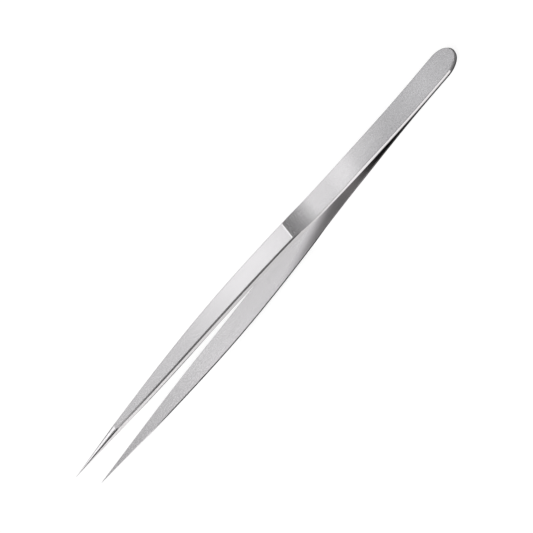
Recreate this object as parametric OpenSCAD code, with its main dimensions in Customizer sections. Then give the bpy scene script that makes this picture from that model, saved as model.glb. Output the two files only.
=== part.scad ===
// Fine-point tweezers: two spring arms, welded together at the heel.
// They lie on the lower arm's back: on its heel end and on the grip behind the tips.
// Each arm is one ground blank. x runs from the heel to the tip, y across the arm,
// and z outwards from the flat inner face. The lower arm is the upper one mirrored.

/* [Arm outline] */
// Length of each arm, from the heel to the tip
length = 140; // [125:1:160]
// Width of the arm at the heel
heel_width = 7.2; // [6:0.1:9]
// Length of the rounded heel end
heel_round = 5.1; // [3:0.1:7]
// Width of the arm where its edges start to curve in towards the tip
grip_width = 6.35; // [5.5:0.05:6.8]
// Distance from the heel to where the edges start to curve in
taper_start = 76; // [70:1:84]
// Angle between the two edges at the needle
tip_angle = 8.4; // [8:0.1:11]
// Width of the point itself
tip_width = 0.1; // [0.06:0.02:0.4]
// Length of the needle, where the back is ground down to the point
needle_length = 18; // [16:0.5:24]

/* [Spring bend] */
// Length of the flat welded pad, from the heel
pad_length = 10; // [8:0.5:14]
// Distance from the heel to the end of the first bend
bend_end = 23; // [18:0.5:25]
// Angle of the arm to the centre plane at the end of the first bend
bend_angle = 2.7; // [1.5:0.1:4]
// Angle of the arm to the centre plane at the crease
crease_angle = 5.4; // [4.2:0.1:7]
// Distance from the heel to where the arms run parallel
parallel_start = 97; // [85:1:110]

/* [Thickness] */
// Thickness of the arm from the crease forwards
grip_thickness = 1.15; // [1:0.05:1.6]
// Thickness of the arm at the heel
heel_thickness = 0.7; // [0.55:0.05:0.85]
// Distance from the heel to the crease
crease_x = 57.5; // [52:0.5:62]
// Length of the relief ground into the outer face, back from the crease
relief_length = 23.5; // [19:0.5:26]
// Length of the smooth step down into the relief, at its heel end
relief_entry = 9; // [3:0.5:10]
// Thickness left in the relief
relief_thickness = 0.54; // [0.4:0.02:0.66]
// Radius of the relief's front end, which climbs to the crease
climb_radius = 60; // [20:5:80]
// Radius of the slight crown that grinding leaves across the outer face
crown_radius = 100; // [60:10:300]

/* [Edges] */
// Angle of the side faces from square
side_draft = 19; // [0:1:25]
// Height of the side face, where the bevel starts
side_height = 0.85; // [0.6:0.05:0.9]
// Width of the bevel along the outer edges, seen from above
bevel_width = 0.38; // [0.2:0.02:0.8]

/* [Hidden] */
steel = [0.78, 0.78, 0.8];

// Stations of the loft in each stretch, and points across its section
heel_steps = 12;
pad_steps = 3;
bend_steps = 8;
spring_steps = 6;
entry_steps = 8;
relief_steps = 4;
climb_steps = 10;
grip_steps = 18;
taper_steps = 14;
needle_steps = 12;
side_steps = 3;
back_steps = 3;

// The first heel station stands this far round the ellipse, in degrees, and leaves a narrow flat
heel_start_angle = 4;
// Behind the crease the bevel starts no higher than this share of the thickness
bevel_start_limit = 0.9;
// Shortest stretch between two changes of the thickness
min_stretch = 0.5;

// Outline: two straight edges joined by a parabola that is tangent to both
edge_slope = (heel_width - grip_width) / 2 / taper_start;
tip_slope = tan(tip_angle / 2);
edges_meet = (heel_width / 2 - tip_width / 2 - tip_slope * length) / (edge_slope - tip_slope);
curve_length = 2 * (edges_meet - taper_start);
curve_end = taper_start + curve_length;
needle_start = length - needle_length;

// The relief: where it starts, where it is at its depth, and where it starts to climb to the crease
relief_start = crease_x - relief_length;
climb_start = crease_x - sqrt(2 * climb_radius * (grip_thickness - relief_thickness));
entry_end = min(relief_start + relief_entry, climb_start - min_stretch);
draft = tan(side_draft);

function spread(from, to, steps) = [for (i = [1:steps]) from + (to - from) * i / steps];

function half_width(x) =
    x < taper_start ? heel_width / 2 - edge_slope * x
    : x < curve_end ? heel_width / 2 - edge_slope * x
        - (tip_slope - edge_slope) * pow(x - taper_start, 2) / (2 * curve_length)
    : tip_width / 2 + tip_slope * (length - x);

// Height of the inner face above the centre plane: flat, then bends of steady curvature
function bend(x, from, to, slope_from, slope_to) =
    let (u = max(0, min(x, to) - from))
    slope_from * u + (slope_to - slope_from) * u * u / (2 * (to - from));
function rise(x) =
    bend(x, pad_length, bend_end, 0, tan(bend_angle))
    + bend(x, bend_end, crease_x, tan(bend_angle), tan(crease_angle))
    + bend(x, crease_x, parallel_start, tan(crease_angle), 0);

// Thickness: even at the heel, then the relief with its smooth step and its climb, then the grip
function eased(u) = u * u * (3 - 2 * u);
function thickness(x) =
    x >= crease_x ? grip_thickness
    : x > climb_start ? relief_thickness + pow(x - climb_start, 2) / (2 * climb_radius)
    : heel_thickness - (heel_thickness - relief_thickness)
        * eased(max(0, min(1, (x - relief_start) / (entry_end - relief_start))));

// How far the section lies inside the outline at a height above the inner face
function inset(height) =
    height <= side_height ? height * draft
    : side_height * draft + bevel_width * (height - side_height) / (grip_thickness - side_height);

// Half a section, from the inner edge up the side and over the back to its middle.
// Each point has its inset, its height, and its share of the way out from the middle.
function half_section(t) =
    let (side_top = min(side_height, bevel_start_limit * t))
    concat(
        [for (i = [0:side_steps]) let (h = side_top * i / side_steps) [inset(h), h, 1]],
        [let (h = (side_top + t) / 2) [inset(h), h, 1]],
        [for (i = [0:back_steps]) [inset(t), t, 1 - i / back_steps]]);

// One station: edge is its place on the outline, out the outline's outward direction there.
// The crown lowers the outer face away from its middle line, and the side below it in proportion.
function section(edge, out, t, size = 1) =
    let (half = [for (p = half_section(t))
        let (rim = edge - size * p[0] * out, y = rim[1] * p[2])
        [rim[0], y, size * p[1] - y * y / (2 * crown_radius) * p[1] / t]])
    concat(half, [for (i = [len(half) - 2:-1:0]) [half[i][0], -half[i][1], half[i][2]]]);

// The heel end is half an ellipse, stepped by angle
heel_sections = [for (i = [0:heel_steps])
    let (a = heel_start_angle + (90 - heel_start_angle) * i / heel_steps)
    let (x = heel_round * (1 - cos(a)), out = [-cos(a) / heel_round, sin(a) * 2 / heel_width])
    section([x, half_width(x) * sin(a)], out / norm(out), thickness(x))];

// From there the stations run along the arm. In the needle the whole section shrinks with the width,
// so its back runs down to the point between the same bevels.
arm_stations = concat(
    spread(heel_round, pad_length, pad_steps),
    spread(pad_length, bend_end, bend_steps),
    spread(bend_end, relief_start, spring_steps),
    spread(relief_start, entry_end, entry_steps),
    spread(entry_end, climb_start, relief_steps),
    spread(climb_start, crease_x, climb_steps),
    spread(crease_x, parallel_start, grip_steps),
    spread(parallel_start, needle_start, taper_steps),
    spread(needle_start, length, needle_steps));
arm_sections = [for (x = arm_stations)
    let (w = half_width(x))
    section([x, w], [0, 1], thickness(x), min(1, w / half_width(needle_start)))];

function bent(p) = [p[0], p[1], p[2] + rise(p[0])];

// Skin of a loft: each ring joined to the next, and a flat cap at both ends
module loft(rings) {
    n = len(rings[0]);
    last = len(rings) - 1;
    walls = [for (i = [0:last - 1], j = [0:n - 1])
        let (a = i * n + j, b = i * n + (j + 1) % n)
        each [[a, a + n, b], [b, a + n, b + n]]];
    caps = [[for (j = [0:n - 1]) j], [for (j = [n - 1:-1:0]) last * n + j]];
    polyhedron([for (ring = rings) each ring], concat(walls, caps), convexity = 4);
}

module arm() {
    loft([for (ring = concat(heel_sections, arm_sections)) [for (p = ring) bent(p)]]);
}

// At rest the back of the lower arm touches the table at the heel and at its steepest line
heel_edge = inset(heel_thickness);
rest_angle = max([for (x = arm_stations)
    atan((rise(x) + thickness(x) - heel_thickness) / (x - heel_edge))]);
rest_height = heel_thickness * cos(rest_angle) - heel_edge * sin(rest_angle);

module at_rest() {
    translate([-length / 2, 0, rest_height]) rotate([0, -rest_angle, 0]) children();
}

module upper_arm() {
    color(steel) at_rest() arm();
}

module lower_arm() {
    color(steel) at_rest() mirror([0, 0, 1]) arm();
}

upper_arm();
lower_arm();
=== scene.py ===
"""Fine-point tweezers: two ground steel arms, dressed and lit for a studio picture.

Each arm is lofted in millimetres, along x from the heel to the tip, with y across the arm and z
outwards from its flat inner face. Then it is bent, mirrored if it is the lower one, laid at rest
and turned into metres. Floor, lamps and camera are in metres.
"""

import math
from types import SimpleNamespace

import bpy
from mathutils import Euler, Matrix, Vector


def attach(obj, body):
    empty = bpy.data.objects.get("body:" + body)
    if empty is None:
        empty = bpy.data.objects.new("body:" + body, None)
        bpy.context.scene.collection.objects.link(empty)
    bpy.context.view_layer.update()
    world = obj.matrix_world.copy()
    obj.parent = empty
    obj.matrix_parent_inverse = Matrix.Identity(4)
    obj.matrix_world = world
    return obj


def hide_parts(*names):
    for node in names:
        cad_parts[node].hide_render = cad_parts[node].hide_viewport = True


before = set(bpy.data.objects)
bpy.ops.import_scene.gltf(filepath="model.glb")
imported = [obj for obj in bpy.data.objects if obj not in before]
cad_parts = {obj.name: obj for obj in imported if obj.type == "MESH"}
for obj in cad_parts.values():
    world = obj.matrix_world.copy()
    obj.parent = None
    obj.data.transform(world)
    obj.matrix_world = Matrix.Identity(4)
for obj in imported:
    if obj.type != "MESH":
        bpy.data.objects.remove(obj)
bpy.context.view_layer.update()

MM = 0.001

# The arm's measures, as in the part's source: millimetres and degrees
length = 140
heel_width = 7.2
heel_round = 5.1
grip_width = 6.35
taper_start = 76
tip_angle = 8.4
tip_width = 0.1
needle_length = 18
pad_length = 10
bend_end = 23
bend_angle = 2.7
crease_angle = 5.4
parallel_start = 97
grip_thickness = 1.15
heel_thickness = 0.7
crease_x = 57.5
relief_length = 23.5
relief_entry = 9
relief_thickness = 0.54
climb_radius = 60
crown_radius = 100
side_draft = 19
side_height = 0.85
bevel_width = 0.38
bevel_start_limit = 0.9

# How the tweezers lie at rest, as in the part's source
rest_angle = 3.44395
rest_height = 0.684257

# Roundings that the source leaves out: the long edges, the rim of the back and the crease
edge_radius = 0.05
rim_radius = 0.1
crease_reach = 0.08

# A rounding is drawn in this many steps, and its radius and reach stay within these shares of
# the half width and of the sides that it joins
fillet_steps = 3
fillet_width_share = 0.2
fillet_side_share = 0.45
least_reach = 0.01

# Points across the inner face and the back, as shares of the way out from the middle
face_shares = (0.92, 0.7, 0.35, 0)
# How far each point of the rounded rim counts as back
rim_on_back = (0.4, 0.7, 0.9, 1)

edge_slope = (heel_width - grip_width) / 2 / taper_start
tip_slope = math.tan(math.radians(tip_angle / 2))
edges_meet = (heel_width / 2 - tip_width / 2 - tip_slope * length) / (edge_slope - tip_slope)
curve_length = 2 * (edges_meet - taper_start)
curve_end = taper_start + curve_length
needle_start = length - needle_length
relief_start = crease_x - relief_length
climb_start = crease_x - math.sqrt(2 * climb_radius * (grip_thickness - relief_thickness))
draft = math.tan(math.radians(side_draft))

# Stations round the heel end, by angle round its ellipse, and the narrowest that one counts as
heel_stations = 32
heel_start_angle = 1.5
least_heel_width = 0.2

# The stations stand close around the crease and around the needle's start
crease_zone = 0.2
needle_zone = 0.3

# Stretches of the loft in front of the heel end: where each ends, and how many stations it has
stretches = (
    (pad_length, 6),
    (bend_end, 20),
    (relief_start, 12),
    (climb_start, 30),
    (crease_x - crease_zone, 24),
    (crease_x + crease_zone, 20),
    (parallel_start, 44),
    (needle_start - needle_zone, 40),
    (needle_start + needle_zone, 6),
    (length, 48),
)


def half_width(x):
    """Two straight edges, joined by a parabola that is tangent to both."""
    if x >= curve_end:
        return tip_width / 2 + tip_slope * (length - x)
    curve = max(0, x - taper_start)
    curve_in = (tip_slope - edge_slope) * curve ** 2 / (2 * curve_length)
    return heel_width / 2 - edge_slope * x - curve_in


def bend(x, start, end, slope_start, slope_end):
    """Rise of a bend of steady curvature."""
    u = max(0, min(x, end) - start)
    return slope_start * u + (slope_end - slope_start) * u * u / (2 * (end - start))


def rise(x):
    """Height of the inner face above the centre plane."""
    first = math.tan(math.radians(bend_angle))
    second = math.tan(math.radians(crease_angle))
    return (bend(x, pad_length, bend_end, 0, first)
            + bend(x, bend_end, crease_x, first, second)
            + bend(x, crease_x, parallel_start, second, 0))


def climb(x):
    """Thickness on the round climb from the relief to the crease."""
    return relief_thickness + (x - climb_start) ** 2 / (2 * climb_radius)


def thickness(x):
    """Even at the heel, then a smooth step down into the relief, a round climb, and the grip."""
    if x <= climb_start:
        u = max(0, min(1, (x - relief_start) / relief_entry))
        return heel_thickness - (heel_thickness - relief_thickness) * u * u * (3 - 2 * u)
    if abs(x - crease_x) < crease_reach:
        slope = (crease_x - climb_start) / climb_radius
        u = x - crease_x + crease_reach
        return climb(crease_x - crease_reach) + slope * u - slope * u * u / (4 * crease_reach)
    return climb(x) if x < crease_x else grip_thickness


def inset(height):
    """How far the section lies inside the outline at a height above the inner face."""
    if height <= side_height:
        return height * draft
    share = (height - side_height) / (grip_thickness - side_height)
    return side_height * draft + bevel_width * share


def fillet(before, corner, after, radius):
    """Points of a small arc that rounds one corner of a flat outline."""
    a = before - corner
    b = after - corner
    turn = math.pi - a.angle(b)
    reach = max(radius * math.tan(turn / 2), least_reach)
    reach = min(reach, fillet_side_share * a.length, fillet_side_share * b.length)
    start = corner + a.normalized() * reach
    end = corner + b.normalized() * reach
    points = []
    for i in range(fillet_steps + 1):
        t = i / fillet_steps
        points.append(start * (1 - t) ** 2 + corner * 2 * t * (1 - t) + end * t * t)
    return points


def half_section(t, width):
    """From the middle of the inner face, out and up the side, over the bevel to the back's middle.

    Each point is its inset, its height, its share of the way out from the middle, and two marks:
    how far it is on the back, and whether it is on a rounded edge.
    """
    side_top = min(side_height, bevel_start_limit * t)
    inner = Vector((0, 0))
    side = Vector((inset(side_top), side_top))
    back = Vector((inset(t), t))
    middle = side.lerp(back, 0.5)
    radius = min(edge_radius, fillet_width_share * width)
    foot = radius * math.tan(math.radians(90 + side_draft) / 2)
    rim = fillet(side, back, Vector((width, t)), min(rim_radius, fillet_width_share * width))
    points = [(foot, 0, share, 0, 0) for share in face_shares[::-1]]
    points += [(p.x, p.y, 1, 0, 1) for p in fillet(Vector((width, 0)), inner, side, radius)]
    points += [(p.x, p.y, 1, 0, 0) for p in (inner.lerp(side, 1 / 3), inner.lerp(side, 2 / 3))]
    points += [(p.x, p.y, 1, 0, 1) for p in fillet(inner, side, back, radius)]
    points.append((middle.x, middle.y, 1, 0, 0))
    points += [(p.x, p.y, 1, on_back, 1) for p, on_back in zip(rim, rim_on_back)]
    points += [(rim[-1].x, t, share, 1, 0) for share in face_shares]
    return points


def section(edge, out, t, size, width):
    """A closed ring in the flat arm, with the marks of its points.

    edge is its place on the outline, out the outline's direction outwards there, and size shrinks
    it with the width. The crown lowers the back away from its middle line.
    """
    half = []
    for inwards, height, share, on_back, on_edge in half_section(t, width):
        x = edge[0] - size * inwards * out[0]
        y = edge[1] - size * inwards * out[1]
        y *= share
        z = size * height - y * y / (2 * crown_radius) * height / t
        half.append((x, y, z, on_back, on_edge))
    return half + [(x, -y, *others) for x, y, *others in half[-2:0:-1]]


def arm_rings():
    """Rings of the flat arm: round the heel end, which is half an ellipse, and on to the tip."""
    rings = []
    for i in range(heel_stations + 1):
        a = math.radians(heel_start_angle + (90 - heel_start_angle) * i / heel_stations)
        x = heel_round * (1 - math.cos(a))
        y = half_width(x) * math.sin(a)
        out = Vector((-math.cos(a) / heel_round, math.sin(a) * 2 / heel_width)).normalized()
        rings.append(section((x, y), out, thickness(x), 1, max(least_heel_width, y)))
    start = heel_round
    for end, steps in stretches:
        for i in range(1, steps + 1):
            x = start + (end - start) * i / steps
            width = half_width(x)
            size = min(1, width / half_width(needle_start))
            rings.append(section((x, width), (0, 1), thickness(x), size, width))
        start = end
    return rings


def at_rest(x, y, z, side):
    """A point of the flat arm, bent, mirrored where side is -1, laid at rest and in metres."""
    z = side * (z + rise(x))
    cosine = math.cos(math.radians(rest_angle))
    sine = math.sin(math.radians(rest_angle))
    return ((x * cosine - z * sine - length / 2) * MM,
            y * MM,
            (x * sine + z * cosine + rest_height) * MM)


def add_object(name, data):
    item = bpy.data.objects.new(name, data)
    bpy.context.scene.collection.objects.link(item)
    return item


def make_arm(name, side):
    """side is 1 for the upper arm and -1 for the lower one, which is its mirror image."""
    rings = arm_rings()
    count = len(rings[0])
    points = [p for ring in rings for p in ring]
    faces = []
    for i in range(len(rings) - 1):
        for j in range(count):
            a = i * count + j
            b = i * count + (j + 1) % count
            faces.append((a, b, b + count, a + count))
    faces.append(tuple(range(count - 1, -1, -1)))
    faces.append(tuple(range(len(points) - count, len(points))))
    if side > 0:
        faces = [face[::-1] for face in faces]
    mesh = bpy.data.meshes.new(name)
    mesh.from_pydata([at_rest(x, y, z, side) for x, y, z, *marks in points], [], faces)
    place = mesh.attributes.new("arm_mm", "FLOAT_VECTOR", "POINT")
    place.data.foreach_set("vector", [c for p in points for c in p[:3]])
    for i, label in ((3, "on_back"), (4, "on_edge")):
        marks = mesh.attributes.new(label, "FLOAT", "POINT")
        marks.data.foreach_set("value", [p[i] for p in points])
    mesh.shade_smooth()
    arm = add_object(name, mesh)
    arm.modifiers.new("face_weights", "WEIGHTED_NORMAL")
    return arm


# Nodes are laid out in rows from this corner
node_corner = (-2400, 600)
node_pitch = (180, -260)
nodes_in_row = 12

# What all noises share: how far they are shifted along each axis, and how rough they are
noise_offset = (0.3, 0.6, 0.45)
noise_roughness = 0.6


class Wiring:
    """Short forms for the nodes of one material or world. A socket takes a value or a link."""

    def __init__(self, tree):
        self.tree = tree
        self.count = 0

    def feed(self, item, sockets):
        for name, value in sockets.items():
            if isinstance(value, bpy.types.NodeSocket):
                self.tree.links.new(value, item.inputs[name])
            else:
                item.inputs[name].default_value = value

    def node(self, kind, sockets, **settings):
        item = self.tree.nodes.new(kind)
        self.count += 1
        row, column = divmod(self.count, nodes_in_row)
        x = node_corner[0] + node_pitch[0] * column
        y = node_corner[1] + node_pitch[1] * row
        item.location = (x, y)
        for key, value in settings.items():
            setattr(item, key, value)
        self.feed(item, sockets)
        return item

    def attribute(self, name, output):
        return self.node("ShaderNodeAttribute", {}, attribute_name=name).outputs[output]

    def math(self, operation, a, b=0.0):
        return self.node("ShaderNodeMath", {0: a, 1: b}, operation=operation).outputs[0]

    def times(self, first, *others):
        for other in others:
            first = self.math("MULTIPLY", first, other)
        return first

    def off(self, mask):
        """1 where the mask is 0, and 0 where it is 1."""
        return self.math("SUBTRACT", 1, mask)

    def step(self, value, span, low=0.0, high=1.0):
        """Runs smoothly from low to high over a span."""
        sockets = {"Value": value, "From Min": span[0], "From Max": span[1]}
        sockets.update({"To Min": low, "To Max": high})
        return self.node("ShaderNodeMapRange", sockets, interpolation_type="SMOOTHSTEP").outputs[0]

    def fade(self, value, span, high=1.0):
        return self.step(value, span, high, 0)

    def between(self, value, start, end):
        """Grows from 0 to 1 over the span at the start, and fades again over the one at the end."""
        return self.times(self.step(value, start), self.fade(value, end))

    def blend(self, share, pair):
        sockets = {0: share, 2: pair[0], 3: pair[1]}
        return self.node("ShaderNodeMix", sockets, data_type="FLOAT").outputs[0]

    def colours(self, share, a, b):
        return self.node("ShaderNodeMix", {0: share, 6: a, 7: b}, data_type="RGBA").outputs[2]

    def change(self, value, span, pair):
        """Passes from the first colour of a pair to the second over a span."""
        return self.colours(self.step(value, span), *pair)

    def noise(self, place, stretch, scale, detail):
        sockets = {0: place, 1: stretch, 2: noise_offset}
        spot = self.node("ShaderNodeVectorMath", sockets, operation="MULTIPLY_ADD").outputs[0]
        sockets = {"Vector": spot, "Scale": scale, "Detail": detail, "Roughness": noise_roughness}
        return self.node("ShaderNodeTexNoise", sockets).outputs[0]


metal_tint = (1.004, 0.986, 1.005)


def grey(value, warm=0.0):
    """A grey in the metal's tint. warm adds red and takes blue away."""
    red, green, blue = metal_tint
    return (value * (red + warm), value * green, value * (blue - warm), 1)


# The finish of the steel, with shade, dark reflections and a highlight painted into it in places.
# Where nothing else is said, a span runs along the arm, in millimetres from the heel.

# Heights on the rounded edge over which the finish of the inner face fades out
inner_face_top = (0.02, 0.12)
# The finish takes the point itself as no narrower than this half width
least_half_width = 0.05


def find_places(wire):
    """Where a point lies on the flat arm, in millimetres, and the marks that it carries.

    Each part of the finish adds what the later ones need.
    """
    at = SimpleNamespace()
    at.place = wire.attribute("arm_mm", "Vector")
    at.on_back = wire.attribute("on_back", "Fac")
    at.on_edge = wire.attribute("on_edge", "Fac")
    at.x, at.y, z = wire.node("ShaderNodeSeparateXYZ", {0: at.place}).outputs
    # In the needle the section shrinks with the half width. The height is the one before that.
    half = wire.math("ADD", wire.times(at.x, -tip_slope), tip_width / 2 + tip_slope * length)
    half = wire.math("MAXIMUM", half, least_half_width)
    shrink = wire.math("MINIMUM", wire.math("DIVIDE", half, half_width(needle_start)), 1)
    at.height = wire.math("DIVIDE", z, shrink)
    at.across = wire.math("DIVIDE", wire.math("ABSOLUTE", at.y), half)
    at.inside = wire.fade(at.height, inner_face_top)
    at.off_inside = wire.off(at.inside)
    at.off_back = wire.off(at.on_back)
    return at


# Noises: how they are stretched along each axis, their scale and their detail
grain_noise = ((0.5, 9, 9), 1.6, 4)
speckle_noise = ((1, 1, 1), 3.8, 2)
cloud_noise = ((0.25, 0.8, 0.8), 0.6, 2)
speckle_share = 0.6
# The middle range of the noises, over which they do their work
mottle_range = (0.25, 0.75)
noise_range = (0.3, 0.7)


def find_grain(wire, at):
    """Fine grain along the arm, its mix with speckle, and slow changes of tone."""
    at.grain = wire.noise(at.place, *grain_noise)
    at.cloud = wire.noise(at.place, *cloud_noise)
    at.mottle = wire.blend(speckle_share, (at.grain, wire.noise(at.place, *speckle_noise)))
    at.fleck = wire.step(at.mottle, mottle_range, -1, 1)


# The back is blank metal behind a slanting line, and ground metal in front of it
blank_tone = grey(0.575, -0.006)
blank_end = (20, 42)
ground_tones = (grey(0.765), grey(0.775))
ground_change = (crease_x - 0.3, crease_x + 0.1)


def finish_back(wire, at):
    slanted = wire.math("SUBTRACT", at.x, at.y)
    at.blank = wire.times(wire.fade(slanted, blank_end), at.on_back)
    return wire.colours(at.blank, wire.change(at.x, ground_change, ground_tones), blank_tone)


# The inner face is ground. Near its root, between the arms and up to a steeply slanting line, it is
# darkened with painted shade
inner_tones = (grey(0.81), grey(0.62))
inner_change = (92, 142)
root_shade_tones = (grey(0.1, 0.02), grey(0.56, 0.015))
root_shade_change = (28, 40)
root_shade_front_tone = grey(0.385, 0.01)
root_shade_front_start = (39, 46)
root_shade_slant = 4.2
root_shade_end = (39, 59)


def finish_and_shade_inner_face(wire, at, colour):
    slanted = wire.math("SUBTRACT", at.x, wire.times(at.y, root_shade_slant))
    at.near_root = wire.fade(slanted, root_shade_end)
    at.root = wire.times(at.near_root, at.inside)
    # The colour of the painted shade at the root, between the arms
    scale = wire.change(at.x, root_shade_change, root_shade_tones)
    scale = wire.change(at.x, root_shade_front_start, (scale, root_shade_front_tone))
    colour = wire.colours(at.inside, colour, wire.change(at.x, inner_change, inner_tones))
    return wire.colours(at.root, colour, scale)


# The sides are pale at the heel, darker from the relief on, and paler again towards the needle
rear_side_tones = (grey(0.76, 0.01), grey(0.79, 0.01))
rear_side_change = (24, 36)
front_side_tones = (grey(0.52, 0.01), grey(0.68, 0.01))
front_side_change = (72, 108)
side_change = (38, 56)
# Painted dark reflection: on the upper arm's heel end, and on all of the lower arm's side behind
# the needle
upper_dull = (grey(0.17), (3.6, 4.2))
lower_dull = (grey(0.06), (112, 124))


def finish_sides_with_painted_dark(wire, at, colour, lower):
    rear = wire.change(at.x, rear_side_change, rear_side_tones)
    front = wire.change(at.x, front_side_change, front_side_tones)
    on_side = wire.times(at.off_back, at.off_inside)
    colour = wire.colours(on_side, colour, wire.change(at.x, side_change, (rear, front)))
    # The painted dark reflection: its tone, and where it ends along the arm
    dull_tone, dull_end = lower_dull if lower else upper_dull
    at.dull = wire.times(wire.fade(at.x, dull_end), on_side)
    return wire.colours(at.dull, colour, dull_tone)


# A thin line of painted shade runs along the foot of the sides, at the heel and on the taper. Its
# bottom and top are heights in millimetres, and on the taper the top is lifted a little.
foot_shade_tone = grey(0.06)
foot_bottom = (0.005, 0.03)
foot_top = (0.12, 0.26)
foot_lift = 0.03
foot_strength = 0.9
foot_heel_strength = 0.7
foot_heel_end = (25, 35)
foot_taper_start = (84, 100)
foot_taper_end = (110, 119)


def paint_foot_shade(wire, at, colour):
    height = wire.math("SUBTRACT", at.height, wire.step(at.x, foot_taper_start, 0, foot_lift))
    foot = wire.times(wire.step(at.height, foot_bottom), wire.fade(height, foot_top, foot_strength))
    at_heel = wire.fade(at.x, foot_heel_end, foot_heel_strength)
    on_taper = wire.between(at.x, foot_taper_start, foot_taper_end)
    foot = wire.times(foot, at.off_back, wire.math("MAXIMUM", at_heel, on_taper))
    return wire.colours(foot, colour, foot_shade_tone)


# The bevel carries a painted dark reflection: darker on the taper, nearly black on the needle. It
# starts at these heights.
bevel_bottom = (0.82, 0.88)
taper_bevel_reflection_tone = grey(0.32)
taper_bevel_start = (84, 98)
taper_bevel_end = (108, 119)
needle_bevel_reflection_tone = grey(0.07)
needle_bevel_start = (needle_start + 0.2, needle_start + 1.2)


def paint_bevel_reflection(wire, at, colour):
    bevel = wire.times(wire.step(at.height, bevel_bottom), at.off_back)
    on_taper = wire.between(at.x, taper_bevel_start, taper_bevel_end)
    colour = wire.colours(wire.times(bevel, on_taper), colour, taper_bevel_reflection_tone)
    on_needle = wire.step(at.x, needle_bevel_start)
    return wire.colours(wire.times(bevel, on_needle), colour, needle_bevel_reflection_tone)


# Flecks of the grain show little on ground metal, and more on the blank and towards the tips:
# how deep they are in tone and in roughness, at their least and at their most
marked_start = (84, 104)
fleck_depths = (0.04, 0.24)
fleck_roughness = (0.007, 0.008)
# Slow changes of tone over the whole arm
cloud_tones = (0.988, 1.012)


def mottle_tone(wire, at, colour):
    at.marked = wire.math("MAXIMUM", at.blank, wire.step(at.x, marked_start))
    tone = wire.times(at.fleck, wire.blend(at.marked, fleck_depths))
    tone = wire.math("ADD", tone, wire.step(at.cloud, noise_range, *cloud_tones))
    return wire.node("ShaderNodeVectorMath", {0: colour, 3: tone}, operation="SCALE").outputs[0]


# Worn edges are brighter, and a painted highlight runs along the line of the crease. The grain
# breaks the wear up, and low on the sides beside the painted shade at the root there is none.
worn_and_highlight_tone = grey(0.86)
wear_strength = 0.6
wear_breaks = (-0.25, 0.15)
wear_start = (0.75, 1.05)
unworn_top = (0.1, 0.3)
crease_highlight_place = crease_x + 0.2
crease_highlight_reach = (0.08, 0.25)


def wear_edges(wire, at, colour):
    wear = wire.math("ADD", at.on_edge, wire.step(at.grain, noise_range, *wear_breaks))
    wear = wire.step(wear, wear_start, 0, wear_strength)
    unworn = wire.times(at.near_root, wire.fade(at.height, unworn_top))
    wear = wire.times(wear, wire.off(unworn))
    # The painted highlight along the crease
    from_crease_highlight = wire.math("ABSOLUTE", wire.math("SUBTRACT", at.x, crease_highlight_place))
    crease_highlight = wire.times(wire.fade(from_crease_highlight, crease_highlight_reach, wear_strength), at.on_back)
    at.wear = wire.math("MAXIMUM", wear, crease_highlight)
    return wire.colours(at.wear, colour, worn_and_highlight_tone)


# The needle is polished in front of a curved line, and its back carries a painted dark reflection
# on both flanks, which start at these shares of the half width
polish_start = (needle_start + 0.9, needle_start + 1.3)
polish_curve = 2
flank_reflection_tone = grey(0.12)
flank_start = (0.28, 0.4)


def polish_needle_and_paint_flanks(wire, at, colour):
    curved = wire.math("SUBTRACT", at.x, wire.times(at.y, at.y, polish_curve))
    at.polish = wire.times(wire.step(curved, polish_start), at.off_inside)
    flank = wire.times(wire.step(at.across, flank_start), at.on_back, at.polish)
    return wire.colours(flank, colour, flank_reflection_tone)


# Roughness of satin and of polished metal, and what the painted root shade, the painted dark
# reflection and the worn edges with the crease highlight add to it
satin_roughness = 0.27
polished_roughness = 0.1
dull_roughness = 0.2
wear_roughness = -0.08


def find_roughness(wire, at):
    rough = wire.times(at.fleck, wire.blend(at.marked, fleck_roughness))
    rough = wire.math("ADD", rough, satin_roughness)
    # Rougher where the root shade and the dark reflection are painted
    dull = wire.times(wire.math("MAXIMUM", at.root, at.dull), dull_roughness)
    rough = wire.math("ADD", rough, dull)
    rough = wire.math("ADD", rough, wire.times(at.wear, wear_roughness))
    return wire.blend(at.polish, (rough, polished_roughness))


white = (1, 1, 1, 1)
black = (0, 0, 0, 1)
# Depth of the grain, in metres, and how strongly it shows on satin and on polished metal
grain_depth = 0.0000005
grain_strengths = (1, 0.15)


def steel(name, lower):
    """Satin steel. A painted dark reflection covers the lower arm's sides, and the upper arm's heel
    end.
    """
    mat = bpy.data.materials.new(name)
    mat.use_nodes = True
    wire = Wiring(mat.node_tree)
    at = find_places(wire)
    find_grain(wire, at)
    colour = finish_back(wire, at)
    colour = finish_and_shade_inner_face(wire, at, colour)
    colour = finish_sides_with_painted_dark(wire, at, colour, lower)
    colour = paint_foot_shade(wire, at, colour)
    colour = paint_bevel_reflection(wire, at, colour)
    colour = mottle_tone(wire, at, colour)
    colour = wear_edges(wire, at, colour)
    colour = polish_needle_and_paint_flanks(wire, at, colour)
    bump = wire.node("ShaderNodeBump", {
        "Height": at.mottle,
        "Strength": wire.blend(at.polish, grain_strengths),
        "Distance": grain_depth,
    })
    wire.feed(mat.node_tree.nodes["Principled BSDF"], {
        "Base Color": colour,
        "Metallic": 1,
        "Roughness": find_roughness(wire, at),
        # Where the dark reflection is painted, the specular tint is black, so the grazing
        # reflection there is dark too
        "Specular Tint": wire.colours(at.dull, white, black),
        "Normal": bump.outputs[0],
    })
    return mat


arms = (("upper_arm_ground", 1, "upper_arm"), ("lower_arm_ground", -1, "lower_arm"))
for name, side, replaced in arms:
    arm = make_arm(name, side)
    arm.data.materials.append(steel(name + "_steel", side < 0))
    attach(arm, "root")
    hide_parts(replaced)

# The floor is pale. It also glows, but only for the camera and in reflections.
floor_reach = 2.5
floor_tone = (0.44, 0.44, 0.44, 1)
floor_roughness = 0.9
floor_glow = 0.772

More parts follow.
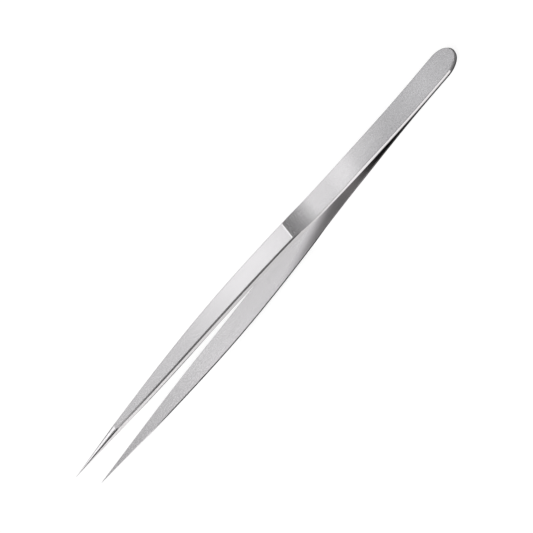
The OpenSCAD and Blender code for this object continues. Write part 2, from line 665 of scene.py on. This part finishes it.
floor_mesh = bpy.data.meshes.new("floor")
corners = [(floor_reach * x, floor_reach * y, 0) for x, y in ((-1, -1), (1, -1), (1, 1), (-1, 1))]
floor_mesh.from_pydata(corners, [], [(0, 1, 2, 3)])
floor = add_object("floor", floor_mesh)
floor_mat = bpy.data.materials.new("pale_floor")
floor_mat.use_nodes = True
wire = Wiring(floor_mat.node_tree)
rays = wire.node("ShaderNodeLightPath", {}).outputs
seen = wire.math("MAXIMUM", rays["Is Camera Ray"], rays["Is Glossy Ray"])
seen = wire.math("MAXIMUM", seen, rays["Is Transmission Ray"])
wire.feed(floor_mat.node_tree.nodes["Principled BSDF"], {
    "Base Color": floor_tone,
    "Roughness": floor_roughness,
    "Specular IOR Level": 0,
    "Emission Color": white,
    "Emission Strength": wire.times(seen, floor_glow),
})
floor.data.materials.append(floor_mat)

# The world is pale low down on the camera's side, grey low down behind, and dim overhead
low_behind = (0.25, 0.25, 0.25, 1)
low_in_front = (1.6, 1.6, 1.6, 1)
overhead = (0.184, 0.184, 0.184, 1)
front_start = (-0.4, 0.3)
overhead_start = (0.3, 0.6)

world = bpy.data.worlds.new("studio")
bpy.context.scene.world = world
world.use_nodes = True
wire = Wiring(world.node_tree)
direction = wire.node("ShaderNodeTexCoord", {}).outputs["Generated"]
split = wire.node("ShaderNodeSeparateXYZ", {0: direction}).outputs
low = wire.change(split["Y"], front_start, (low_behind, low_in_front))
sky = wire.change(split["Z"], overhead_start, (low, overhead))
wire.feed(world.node_tree.nodes["Background"], {"Color": sky})


def lamp(name, place, target, size, radiance):
    """A soft panel. radiance is what a mirror would show of it, where 1 is white."""
    data = bpy.data.lights.new(name, "AREA")
    data.shape = "RECTANGLE"
    data.size, data.size_y = size
    data.energy = radiance * math.pi * size[0] * size[1]
    light = add_object(name, data)
    light.location = place
    light.rotation_euler = (Vector(target) - Vector(place)).to_track_quat("-Z", "Y").to_euler()
    light.visible_camera = False


# The keys are mirrored in the backs of the arms, and the needle's lamp in its polished back
lamp("key", (0.08, -0.455, 0.6), (0.08, 0, 0), (0.19, 0.3), 1.22)
lamp("key_tips", (0.275, -0.455, 0.6), (0.275, 0, 0), (0.2, 0.3), 0.62)
lamp("needle", (0.465, -0.49, 0.6), (0.06, 0, 0), (0.12, 0.1), 1.2)
lamp("left", (-0.95, 0.15, 0.7), (0, 0, 0), (1.1, 1.1), 1.05)
lamp("right", (0.95, 0.15, 0.7), (0, 0, 0), (1.1, 1.1), 1.05)

# The camera stands half a metre away, where it fits the photograph
camera_data = bpy.data.cameras.new("camera")
camera_data.lens = 141.21
camera_data.clip_start = 0.01
camera = add_object("camera", camera_data)
camera.location = (-0.159834, 0.297949, 0.373295)
camera.rotation_euler = Euler([math.radians(a) for a in (14.78853, 40.35603, 140.10089)])
bpy.context.scene.camera = camera
bpy.context.scene.view_settings.view_transform = "Standard"
